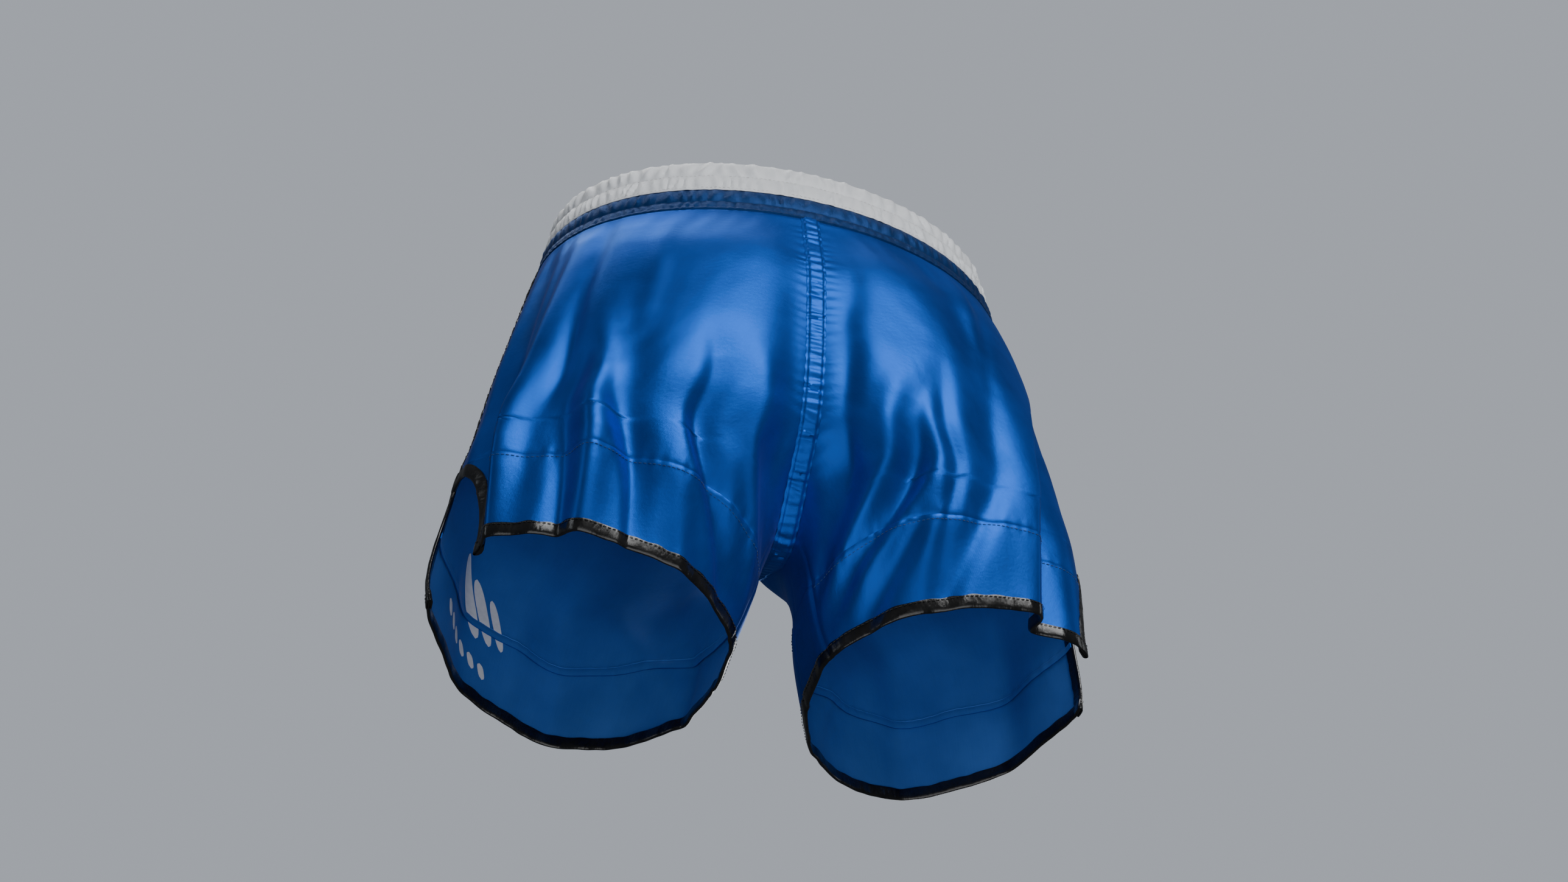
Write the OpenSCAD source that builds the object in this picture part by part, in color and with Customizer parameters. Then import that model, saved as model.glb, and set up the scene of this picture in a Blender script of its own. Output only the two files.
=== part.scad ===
// Satin boxing shorts, as worn: an elastic waistband, a seat of four panels and two short legs.
// The origin is the centre of the waist opening. +Z is up, -Y is the wearer's front and +X their left.
// A point of the cloth is given by its depth below the waist's top edge and by an angle round the leg:
// 0 at the side seam, 90 at the back, 180 at the inner thigh and 270 at the front.

/* [Waist] */
// Half of the waist opening's width
waist_half_w = 165; // [150:1:180]
// Reach of the waist opening behind its centre
waist_back = 100; // [92:1:112]
// Reach of the waist opening in front of its centre
waist_front = 105; // [96:1:114]
// Height of the white upper band
white_band_h = 34; // [28:1:38]
// Height of the blue lower band
blue_band_h = 26; // [20:1:28]

/* [Seat and legs] */
// Depth at which the two legs part
crotch_depth = 294; // [286:1:300]
// Depth of the leg hems at the leg's centre
hem_depth = 375; // [370:1:385]
// Half of the width over both legs at the hem
hem_half_w = 220; // [212:1:228]
// Sideways distance from the middle to a leg's centre at the hem
leg_centre_x = 125; // [122:1:129]
// Reach of the seat behind the waist's centre
seat_back = 126; // [120:1:129]
// Rise of the hem from front to back, per millimetre
hem_back_rise = 0.114; // [0.05:0.01:0.16]
// Rise of the hem from the inner thigh outwards, per millimetre
hem_side_rise = 0.133; // [0.05:0.01:0.16]
// Height of the sewn-on band above each hem
hem_band_h = 57; // [50:1:60]

/* [Side vents] */
// Depth of the top of each side vent
vent_top = 290; // [284:1:296]
// Reach of the vent into the back panel
vent_back = 40; // [20:1:44]
// Reach of the vent into the front panel
vent_front = 10; // [6:1:20]
// Height over which the top of the vent is rounded
vent_round = 40; // [25:1:60]

/* [Trim] */
// Width of the satin binding on the hems and vents
binding_w = 8; // [6:0.5:10]
// Thickness of the binding, folded round the edge
binding_t = 2.2; // [1.8:0.1:3]
// Half of the width of the ribbon over each side seam
ribbon_half_w = 7; // [5:0.5:8]
// Half of the width of the gathered strip over the centre seams
seam_half_w = 7; // [5:0.5:8]
// Half of the gusset's width at the crotch
gusset_top = 13; // [10:1:18]
// Half of the gusset's width at the hem
gusset_hem = 25; // [20:1:32]

/* [Cloth] */
// Thickness of a cloth panel with its seam allowances
cloth_t = 1.2; // [1:0.1:1.6]
// Thickness of an elastic tape
elastic_t = 1.6; // [1.2:0.1:2.2]
// Gap left along each seam
seam_gap = 0.3; // [0.2:0.05:0.5]

/* [Leg swing] */
// Depth of the line about which the legs swing
hinge_depth = 158; // [155:1:161]
// Place of that line in front of the waist's centre
hinge_y = -7; // [-10:0.5:-4]
// Radius of the cut between the seat and the legs
swing_r = 141; // [139:1:143]

/* [Hidden] */
SIDES = ["left", "right"];

ROYAL_BLUE = [0.06, 0.22, 0.55];
BAND_WHITE = [0.88, 0.89, 0.92];
TRIM_BLACK = [0.03, 0.03, 0.035];
ELASTIC_GREY = [0.7, 0.7, 0.7];
EYELET_METAL = [0.55, 0.56, 0.58];

waistband_h = white_band_h + blue_band_h;
binding_depth = hem_depth - binding_w;
hem_band_depth = hem_depth - hem_band_h;
waist_tilt = -0.02;
split_gap = 1.1;
BACK = 1;
FRONT = -1;

// Columns and rows of cloth cells in a panel, and cells round the waistband
panel_columns = 12;
seat_rows = 16;
leg_rows = 3;
band_rows = 3;
gusset_columns = 3;
waist_columns = 72;
// The last rows of the seat panel run beside the vent, and the row above them is the bartack
vent_rows = 2;

// Depth, half width, leg centre, back reach and front reach of the section at each station
STATIONS = [
    [0, waist_half_w, 0, waist_back, waist_front],
    [waistband_h, waist_half_w + 11, 0, waist_back + 9, waist_front + 2],
    [120, hem_half_w - 32, 25, seat_back, waist_front + 3],
    [190, hem_half_w - 19, 58, seat_back - 1, waist_front + 3],
    [250, hem_half_w - 10, 87, seat_back - 13, waist_front + 2],
    [crotch_depth, hem_half_w - 4, (hem_half_w - 4) / 2, seat_back - 24, waist_front + 3],
    [335, hem_half_w - 1, leg_centre_x - 7, seat_back - 35, waist_front + 5],
    [hem_depth, hem_half_w, leg_centre_x, seat_back - 46, waist_front + 9]
];
HALF_WIDTH = 1;
LEG_CENTRE = 2;
BACK_REACH = 3;
FRONT_REACH = 4;
LAST_STATION = len(STATIONS) - 1;

// Smooth interpolation between stations
function blend(a, b, share) = a + (b - a) * share;
function station(depth, i = 0) =
    i >= LAST_STATION - 1 || depth < STATIONS[i + 1][0] ? i : station(depth, i + 1);
function rate(column, i) =
    let (low = max(0, i - 1), high = min(LAST_STATION, i + 1))
    (STATIONS[high][column] - STATIONS[low][column]) / (STATIONS[high][0] - STATIONS[low][0]);
function profile(column, depth) =
    let (
        i = station(depth),
        span = STATIONS[i + 1][0] - STATIONS[i][0],
        t = (depth - STATIONS[i][0]) / span
    )
    (2 * t ^ 3 - 3 * t ^ 2 + 1) * STATIONS[i][column]
    + (t ^ 3 - 2 * t ^ 2 + t) * span * rate(column, i)
    + (3 * t ^ 2 - 2 * t ^ 3) * STATIONS[i + 1][column]
    + (t ^ 3 - t ^ 2) * span * rate(column, i + 1);

// The section at a depth: leg centre, its sideways half axis, and its reach to the back or the front
function centre_x(depth) = depth <= waistband_h ? 0 : max(0, profile(LEG_CENTRE, depth));
function half_axis(depth) = profile(HALF_WIDTH, depth) - centre_x(depth);
function reach(depth, facing) = profile(facing == BACK ? BACK_REACH : FRONT_REACH, depth);

// A point of the left half's outer surface, and its outward normal
function hem_share(depth) =
    let (t = max(0, min(1, (depth - waistband_h) / (hem_depth - waistband_h))))
    t * t * (3 - 2 * t);
function outer_point(depth, angle) =
    let (
        x = centre_x(depth) + half_axis(depth) * cos(angle),
        y = reach(depth, sin(angle) >= 0 ? BACK : FRONT) * sin(angle),
        share = hem_share(depth),
        rise = hem_back_rise * y + hem_side_rise * (x - centre_x(depth))
    )
    [x, y, -depth + waist_tilt * y * (1 - share) + rise * share];
function unit(v) = v / norm(v);
function outward(depth, angle) =
    unit(cross(
        outer_point(depth + 0.5, angle) - outer_point(depth - 0.5, angle),
        outer_point(depth, angle + 0.5) - outer_point(depth, angle - 0.5)
    ));
function cloth_point(cell, proud) =
    outer_point(cell[0], cell[1]) + proud * outward(cell[0], cell[1]);

// Angle at which the section passes a given sideways place, or a given distance from the side seam
function angle_at_x(depth, x) = acos(max(-1, min(1, (x - centre_x(depth)) / half_axis(depth))));
function angle_at_y(depth, y, facing) = asin(max(-1, min(1, y / reach(depth, facing))));

// Vent edge and the edge of its binding, as a distance from the side seam
function arch(depth, top, width, height) =
    let (t = max(0, min(1, (depth - top) / height)))
    width * sqrt(1 - (1 - t) ^ 2);
function vent_reach(facing) = facing == BACK ? vent_back : vent_front;
function vent_edge(depth, facing) = arch(depth, vent_top, vent_reach(facing), vent_round);
function panel_edge(depth, facing) =
    max(ribbon_half_w, arch(depth, vent_top - binding_w, vent_reach(facing) + binding_w,
                            vent_round + binding_w));

// Side and inner limits of a panel at a depth, as angles away from the side seam
function gusset_half_w(depth) =
    blend(gusset_top, gusset_hem, (depth - crotch_depth) / (hem_depth - crotch_depth));
function side_angle(depth, facing) = angle_at_y(depth, panel_edge(depth, facing), facing);
function seam_angle(depth, facing) =
    min(angle_at_x(depth, seam_half_w), 180 - angle_at_y(depth, gusset_half_w(depth), facing));
function panel_angle(depth, u, facing) =
    facing * blend(side_angle(depth, facing), seam_angle(depth, facing), u);
function gusset_angle(depth, u) =
    let (margin = seam_gap / reach(depth, BACK) * 180 / PI)
    blend(seam_angle(depth, BACK) + margin, 360 - seam_angle(depth, FRONT) - margin, u);

// Depth at which a line down the cloth crosses the cut between the seat and a leg
function swing_radius(p) = norm([p[1] - hinge_y, p[2] + hinge_depth]);
function cut_depth(angle_of, radius, low = 215, high = 350, steps = 14) =
    let (middle = (low + high) / 2)
    steps == 0 ? middle
    : swing_radius(outer_point(middle, angle_of(middle))) < radius
        ? cut_depth(angle_of, radius, middle, high, steps - 1)
        : cut_depth(angle_of, radius, low, middle, steps - 1);
function seat_bottom(u, facing) =
    cut_depth(function(depth) panel_angle(depth, u, facing), swing_r - split_gap);
function leg_top(u, facing) =
    cut_depth(function(depth) panel_angle(depth, u, facing), swing_r + split_gap);
// Depth at which a line down the gusset leaves the centre seam strip
function gusset_start(u, low = 286, high = 330, steps = 12) =
    let (middle = (low + high) / 2)
    steps == 0 ? middle
    : outer_point(middle, gusset_angle(middle, u))[0] < seam_half_w
        ? gusset_start(u, middle, high, steps - 1)
        : gusset_start(u, low, middle, steps - 1);

// Depth at which the innermost line of a leg is a given distance from the middle
function parting_depth(x, low = 286, high = 330, steps = 14) =
    let (middle = (low + high) / 2)
    steps == 0 ? middle
    : centre_x(middle) - half_axis(middle) < x
        ? parting_depth(x, middle, high, steps - 1)
        : parting_depth(x, low, middle, steps - 1);

// A closed sheet of cloth between two offsets of the outer surface.
// cells is a list of columns, and each column is a list of [depth, angle] from top to bottom.
function flat_list(lists) = [for (l = lists) each l];
module sheet_solid(outer, inner) {
    columns = len(outer);
    rows = len(outer[0]);
    count = columns * rows;
    function at(i, j) = i * rows + j;
    function rim(a, b) = [[a, b, b + count], [a, b + count, a + count]];
    face_outer = flat_list([for (i = [0 : columns - 2]) for (j = [0 : rows - 2])
        [[at(i, j), at(i + 1, j), at(i + 1, j + 1)], [at(i, j), at(i + 1, j + 1), at(i, j + 1)]]]);
    face_inner = [for (f = face_outer) [f[2] + count, f[1] + count, f[0] + count]];
    rim_top = flat_list([for (i = [0 : columns - 2]) rim(at(i + 1, 0), at(i, 0))]);
    rim_bottom = flat_list([for (i = [0 : columns - 2]) rim(at(i, rows - 1), at(i + 1, rows - 1))]);
    rim_first = flat_list([for (j = [0 : rows - 2]) rim(at(0, j), at(0, j + 1))]);
    rim_last = flat_list([for (j = [0 : rows - 2]) rim(at(columns - 1, j + 1), at(columns - 1, j))]);
    polyhedron(
        points = concat(flat_list(outer), flat_list(inner)),
        faces = concat(face_outer, face_inner, rim_top, rim_bottom, rim_first, rim_last)
    );
}
module cloth(cells, proud, thickness) {
    sheet_solid(
        [for (column = cells) [for (cell = column) cloth_point(cell, proud)]],
        [for (column = cells) [for (cell = column) cloth_point(cell, proud - thickness)]]
    );
}
module on_side(side) {
    if (side == "left") children();
    else mirror([1, 0, 0]) children();
}

// Cells of a panel between two depths that may vary across it
function panel_cells(facing, rows, top_of, bottom_of) =
    let (columns = [for (i = [0 : panel_columns])
        let (u = i / panel_columns)
        [for (j = [0 : rows])
            let (depth = blend(top_of(u), bottom_of(u), j / rows))
            [depth, panel_angle(depth, u, facing)]]])
    facing == FRONT ? [for (i = [panel_columns : -1 : 0]) columns[i]] : columns;
function gusset_cells(rows, top_of, bottom_of) =
    [for (i = [0 : gusset_columns])
        let (u = i / gusset_columns)
        [for (j = [0 : rows])
            let (depth = blend(top_of(u), bottom_of(u), j / rows))
            [depth, gusset_angle(depth, u)]]];

// Rows of the seat panel beside the ribbon and the vent
function side_depth(j, facing) =
    blend(waistband_h + seam_gap, seat_bottom(0, facing), j / seat_rows);

// A strip of trim between two distances from the side seam, along the given depths
function strip_cells(depths, inner_of, outer_of, facing) =
    let (
        near = [for (d = depths) [d, facing * angle_at_y(d, inner_of(d), facing)]],
        far = [for (d = depths) [d, facing * angle_at_y(d, outer_of(d), facing)]]
    )
    facing == BACK ? [near, far] : [far, near];

// Waistband
module waist_ring(top, bottom, proud, thickness, ring_rows = 2) {
    cells = [for (i = [0 : waist_columns - 1])
        [for (j = [0 : ring_rows]) [blend(top, bottom, j / ring_rows), i * 360 / waist_columns]]];
    outer = [for (column = cells) [for (cell = column) cloth_point(cell, proud)]];
    inner = [for (column = cells) [for (cell = column) cloth_point(cell, proud - thickness)]];
    rows = ring_rows + 1;
    count = waist_columns * rows;
    function at(i, j) = (i % waist_columns) * rows + j;
    skin = flat_list([for (i = [0 : waist_columns - 1]) for (j = [0 : ring_rows - 1])
        [[at(i, j), at(i + 1, j), at(i + 1, j + 1)], [at(i, j), at(i + 1, j + 1), at(i, j + 1)]]]);
    lining = [for (f = skin) [f[2] + count, f[1] + count, f[0] + count]];
    top_rim = flat_list([for (i = [0 : waist_columns - 1])
        let (a = at(i + 1, 0), b = at(i, 0))
        [[a, b, b + count], [a, b + count, a + count]]]);
    bottom_rim = flat_list([for (i = [0 : waist_columns - 1])
        let (a = at(i, ring_rows), b = at(i + 1, ring_rows))
        [[a, b, b + count], [a, b + count, a + count]]]);
    polyhedron(
        points = concat(flat_list(outer), flat_list(inner)),
        faces = concat(skin, lining, top_rim, bottom_rim)
    );
}
module white_band_cover() {
    color(BAND_WHITE) waist_ring(0, white_band_h, 0, cloth_t);
}
module blue_band_cover() {
    color(ROYAL_BLUE) waist_ring(white_band_h + seam_gap, waistband_h, 0, cloth_t);
}
lining_proud = -cloth_t - elastic_t - 2 * seam_gap;
module waistband_lining() {
    color(ROYAL_BLUE) waist_ring(0, waistband_h, lining_proud, cloth_t, ring_rows = 4);
}
// Four elastic tapes, one in each stitched channel
CHANNELS = [[1, 16], [18, 33], [36, 49], [51, 59]];
module elastic_tape(number) {
    channel = CHANNELS[number - 1];
    color(ELASTIC_GREY) waist_ring(channel[0], channel[1], -cloth_t - seam_gap, elastic_t);
}
// Two eyelets for a drawcord, inside the front of the waistband
module drawcord_eyelets() {
    eyelet_x = 18;
    eyelet_depth = 25;
    eyelet_t = 1;
    // Each lies flat on the lining's inner face, with its axis across the cloth
    lining_face = lining_proud - cloth_t;
    angle = -angle_at_x(eyelet_depth, eyelet_x);
    place = cloth_point([eyelet_depth, angle], lining_face - seam_gap);
    inward = -outward(eyelet_depth, angle);
    color(EYELET_METAL) for (side = SIDES) on_side(side)
        translate(place) rotate([0, acos(inward[2]), atan2(inward[1], inward[0])])
            difference() {
                cylinder(h = eyelet_t, r = 5, $fn = 48);
                translate([0, 0, -1]) cylinder(h = eyelet_t + 2, r = 2.5, $fn = 48);
            }
}

// Gathered strips over the centre seams: down the back, under the crotch and up the front.
// A strip's side view is a line of [y, z] points, which ends in the middle of the crotch.
module centre_seam(facing) {
    seam_rows = 24;
    strip_half_w = seam_half_w - seam_gap;
    strip_end = parting_depth(strip_half_w);
    // The rows draw together towards the crotch, where the strip turns flat
    function row_depth(j) = blend(waistband_h + seam_gap, strip_end, sin(90 * j / seam_rows));
    line = [for (j = [0 : seam_rows])
        let (d = row_depth(j), p = outer_point(d, facing * angle_at_x(d, strip_half_w)))
        [j == seam_rows ? 0 : p[1], p[2]]];
    // The same line on the inner face
    inner_line = [for (j = [0 : seam_rows])
        let (along = unit(line[min(seam_rows, j + 1)] - line[max(0, j - 1)]))
        [j == seam_rows ? 0 : line[j][0] + facing * cloth_t * along[1],
         line[j][1] - facing * cloth_t * along[0]]];
    function strip(side_line) = [for (x = [-strip_half_w, strip_half_w] * facing)
        [for (p = side_line) [x, p[0], p[1]]]];
    color(ROYAL_BLUE) sheet_solid(strip(inner_line), strip(line));
}
module back_centre_seam() {
    centre_seam(BACK);
}
module front_centre_seam() {
    centre_seam(FRONT);
}

// Seat: panels, side ribbons, bartacks and the upper part of the vent bindings
module seat_panel(side, facing) {
    top_of = function(u) waistband_h + seam_gap;
    bottom_of = function(u) seat_bottom(u, facing);
    color(ROYAL_BLUE) on_side(side)
        cloth(panel_cells(facing, seat_rows, top_of, bottom_of), 0, cloth_t);
}
function ribbon_cells(depths) =
    let (half_w = ribbon_half_w - seam_gap)
    [for (y = [-half_w, half_w]) [for (d = depths) [d, angle_at_y(d, y, y < 0 ? FRONT : BACK)]]];
module side_ribbon(side) {
    depths = [for (j = [0 : seat_rows - vent_rows - 1]) side_depth(j, BACK)];
    color(TRIM_BLACK) on_side(side) cloth(ribbon_cells(depths), 0.6, cloth_t + 0.6);
}
module bartack(side) {
    above = side_depth(seat_rows - vent_rows - 1, BACK) + seam_gap;
    below = side_depth(seat_rows - vent_rows, BACK) - seam_gap;
    color(TRIM_BLACK) on_side(side) cloth(ribbon_cells([above, below]), 1.2, cloth_t + 1.2);
}
module vent_binding(side, facing, depths) {
    inner_of = function(d) max(seam_gap, vent_edge(d, facing));
    outer_of = function(d) panel_edge(d, facing) - seam_gap;
    color(TRIM_BLACK) on_side(side)
        cloth(strip_cells(depths, inner_of, outer_of, facing), 0.5, binding_t);
}
module vent_binding_top(side, facing) {
    first = seat_rows - vent_rows;
    depths = [for (j = [first : seat_rows]) side_depth(j, facing)];
    vent_binding(side, facing, depths);
}

// Legs: panels, gussets, hem bands and bindings
module leg_panel(side, facing) {
    top_of = function(u) leg_top(u, facing);
    bottom_of = function(u) hem_band_depth - seam_gap;
    color(ROYAL_BLUE) on_side(side)
        cloth(panel_cells(facing, leg_rows, top_of, bottom_of), 0, cloth_t);
}
module gusset(side) {
    top_of = function(u) gusset_start(u) + seam_gap;
    bottom_of = function(u) hem_band_depth - seam_gap;
    color(ROYAL_BLUE) on_side(side) cloth(gusset_cells(1, top_of, bottom_of), 0, cloth_t);
}
module hem_band(side, facing) {
    top_of = function(u) hem_band_depth;
    bottom_of = function(u) binding_depth - seam_gap;
    color(ROYAL_BLUE) on_side(side)
        cloth(panel_cells(facing, band_rows, top_of, bottom_of), 0, cloth_t);
}
module gusset_hem_band(side) {
    top_of = function(u) hem_band_depth;
    bottom_of = function(u) binding_depth - seam_gap;
    color(ROYAL_BLUE) on_side(side) cloth(gusset_cells(band_rows, top_of, bottom_of), 0, cloth_t);
}
module leg_vent_binding(side, facing) {
    start = leg_top(0, facing);
    leg_depths = [for (j = [0 : leg_rows - 1])
        blend(start, hem_band_depth - seam_gap, j / leg_rows)];
    band_depths = [for (j = [0 : band_rows])
        blend(hem_band_depth, binding_depth - seam_gap, j / band_rows)];
    vent_binding(side, facing, concat(leg_depths, band_depths));
}
// The hem binding runs from one vent corner round the leg to the other
module hem_binding(side) {
    hem_columns = 36;
    corner_back = angle_at_y(hem_depth, vent_edge(hem_depth, BACK), BACK);
    corner_front = 360 - angle_at_y(hem_depth, vent_edge(hem_depth, FRONT), FRONT);
    cells = [for (i = [0 : hem_columns])
        let (angle = blend(corner_back, corner_front, i / hem_columns))
        [[binding_depth, angle], [hem_depth, angle]]];
    color(TRIM_BLACK) on_side(side) cloth(cells, 0.5, binding_t);
}

white_band_cover();
blue_band_cover();
waistband_lining();
elastic_tape(1);  // elastic_tape_1
elastic_tape(2);  // elastic_tape_2
elastic_tape(3);  // elastic_tape_3
elastic_tape(4);  // elastic_tape_4
drawcord_eyelets();
back_centre_seam();
front_centre_seam();
for (side = SIDES) {
    seat_panel(side, BACK);
    seat_panel(side, FRONT);
    side_ribbon(side);
    bartack(side);
    vent_binding_top(side, BACK);
    vent_binding_top(side, FRONT);
    leg_panel(side, BACK);
    leg_panel(side, FRONT);
    gusset(side);
    hem_band(side, BACK);
    hem_band(side, FRONT);
    gusset_hem_band(side);
    leg_vent_binding(side, BACK);
    leg_vent_binding(side, FRONT);
    hem_binding(side);
}
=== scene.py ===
"""Satin boxing shorts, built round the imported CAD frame.

Lengths here are millimetres until a mesh is made. A point of the cloth is given by its depth below
the waist's top edge and its angle round the leg: 0 at the side seam, 90 at the back, 180 at the
inner thigh and -90 at the front. Side is +1 for the wearer's left half and -1 for the right.
"""
import math

import bpy
import numpy as np
from mathutils import Matrix, Vector


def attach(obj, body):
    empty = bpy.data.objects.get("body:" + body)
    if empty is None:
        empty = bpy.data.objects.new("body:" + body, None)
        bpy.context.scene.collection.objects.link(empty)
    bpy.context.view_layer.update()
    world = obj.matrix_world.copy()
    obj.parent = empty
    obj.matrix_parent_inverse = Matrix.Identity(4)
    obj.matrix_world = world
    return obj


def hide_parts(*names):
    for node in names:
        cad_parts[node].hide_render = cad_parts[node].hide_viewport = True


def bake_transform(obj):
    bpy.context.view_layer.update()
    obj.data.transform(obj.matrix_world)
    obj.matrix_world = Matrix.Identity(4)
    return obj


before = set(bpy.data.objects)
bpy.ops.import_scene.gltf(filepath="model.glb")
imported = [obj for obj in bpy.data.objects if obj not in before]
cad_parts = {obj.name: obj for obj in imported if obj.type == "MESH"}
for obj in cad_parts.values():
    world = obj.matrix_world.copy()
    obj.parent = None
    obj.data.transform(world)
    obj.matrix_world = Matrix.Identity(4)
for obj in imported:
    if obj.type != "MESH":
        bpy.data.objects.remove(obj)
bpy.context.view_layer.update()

MM = 0.001
LEFT, RIGHT = 1, -1
SIDE_NAME = {LEFT: "left", RIGHT: "right"}
BACK, FRONT = 1, -1
FACING_NAME = {BACK: "back", FRONT: "front"}

# ---------------------------------------------------------------- the garment's own dimensions
WAIST_HALF_W, WAIST_BACK, WAIST_FRONT = 165, 100, 105
WHITE_BAND, WAISTBAND = 34, 60
CROTCH, CROTCH_BACK, HEM, HEM_BAND = 282, 28, 375, 318
HEM_HALF_W, LEG_CENTRE, SEAT_BACK = 220, 125, 126
HEM_BACK_RISE, HEM_SIDE_RISE, WAIST_TILT = 0.114, 0.133, -0.02
VENT_TOP, VENT_ROUND, VENT_FLARE = 290, 40, 0.10
VENT_REACH = {BACK: 38, FRONT: 10}
SEAM_HALF_W, RIBBON_HALF_W = 7, 7
GUSSET_TOP, GUSSET_HEM = 13, 25
CLOTH = 0.9

# Depth, half width, leg centre, back reach, front reach
STATIONS = np.array([
    [0, WAIST_HALF_W, 0, WAIST_BACK, WAIST_FRONT],
    [WAISTBAND, WAIST_HALF_W + 11, 0, WAIST_BACK + 9, WAIST_FRONT + 2],
    [120, HEM_HALF_W - 32, 25, SEAT_BACK, WAIST_FRONT + 3],
    [190, HEM_HALF_W - 19, 58, SEAT_BACK - 1, WAIST_FRONT + 3],
    [250, HEM_HALF_W - 10, 87, SEAT_BACK - 13, WAIST_FRONT + 2],
    [CROTCH, HEM_HALF_W - 4, (HEM_HALF_W - 4) / 2, SEAT_BACK - 24, WAIST_FRONT + 3],
    [335, HEM_HALF_W - 1, LEG_CENTRE - 7, SEAT_BACK - 35, WAIST_FRONT + 5],
    [HEM, HEM_HALF_W, LEG_CENTRE, SEAT_BACK - 46, WAIST_FRONT + 9],
], float)


def smooth(t):
    """Smooth step of t from 0 to 1."""
    t = np.clip(t, 0, 1)
    return t * t * (3 - 2 * t)


def bell(x, width):
    """1 at 0, dying out either side over width."""
    return np.exp(-(x / width) ** 2)


def unit(v):
    return v / np.maximum(1e-9, np.linalg.norm(v, axis=-1, keepdims=True))


def lengths(path):
    """Distance along a path at each of its points."""
    return np.concatenate([[0], np.cumsum(np.linalg.norm(np.diff(path, axis=0), axis=1))])


def spread(*values):
    """The values as arrays of one shape."""
    return np.broadcast_arrays(*(np.asarray(x, float) for x in values))


def wrapped(angle):
    """The angle from -180 to 180."""
    return (angle + 180) % 360 - 180


def piece_name(side, facing):
    return f"{SIDE_NAME[side]}_{FACING_NAME[facing]}"


def hermite(knots, values, at):
    """Smooth curve through values at knots, with the slope of its neighbours at each knot."""
    slopes = np.empty(len(knots))
    slopes[1:-1] = (values[2:] - values[:-2]) / (knots[2:] - knots[:-2])
    slopes[0] = (values[1] - values[0]) / (knots[1] - knots[0])
    slopes[-1] = (values[-1] - values[-2]) / (knots[-1] - knots[-2])
    i = np.clip(np.searchsorted(knots, at, side="right") - 1, 0, len(knots) - 2)
    span = knots[i + 1] - knots[i]
    t = (at - knots[i]) / span
    return ((2 * t**3 - 3 * t**2 + 1) * values[i] + (t**3 - 2 * t**2 + t) * span * slopes[i]
            + (3 * t**2 - 2 * t**3) * values[i + 1] + (t**3 - t**2) * span * slopes[i + 1])


def profile(column, depth):
    return hermite(STATIONS[:, 0], STATIONS[:, column], np.asarray(depth, float))


def centre_x(depth):
    return np.where(np.asarray(depth) <= WAISTBAND, 0, np.maximum(0, profile(2, depth)))


def half_axis(depth):
    return profile(1, depth) - centre_x(depth)


def reach(depth, angle):
    return np.where(np.sin(np.radians(angle)) >= 0, profile(3, depth), profile(4, depth))


def back_shift(depth, angle):
    """Backward shift of the section, which grows towards the inner thigh."""
    depth = np.asarray(depth, float)
    inner = np.sin(np.radians(angle) / 2) ** 4
    return CROTCH_BACK * inner * smooth((depth - 140) / 122) * smooth((HEM - depth) / (HEM - 290))


def surface(depth, angle):
    """A point of the left half's smooth outer surface."""
    depth, angle = spread(depth, angle)
    x = centre_x(depth) + half_axis(depth) * np.cos(np.radians(angle))
    y = reach(depth, angle) * np.sin(np.radians(angle)) + back_shift(depth, angle)
    share = smooth((depth - WAISTBAND) / (HEM - WAISTBAND))
    rise = HEM_BACK_RISE * y + HEM_SIDE_RISE * (x - centre_x(depth))
    return np.stack([x, y, -depth + WAIST_TILT * y * (1 - share) + rise * share], -1)


def outward(depth, angle):
    across = surface(depth + 0.5, angle) - surface(depth - 0.5, angle)
    along = surface(depth, angle + 0.5) - surface(depth, angle - 0.5)
    return unit(np.cross(across, along))


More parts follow.
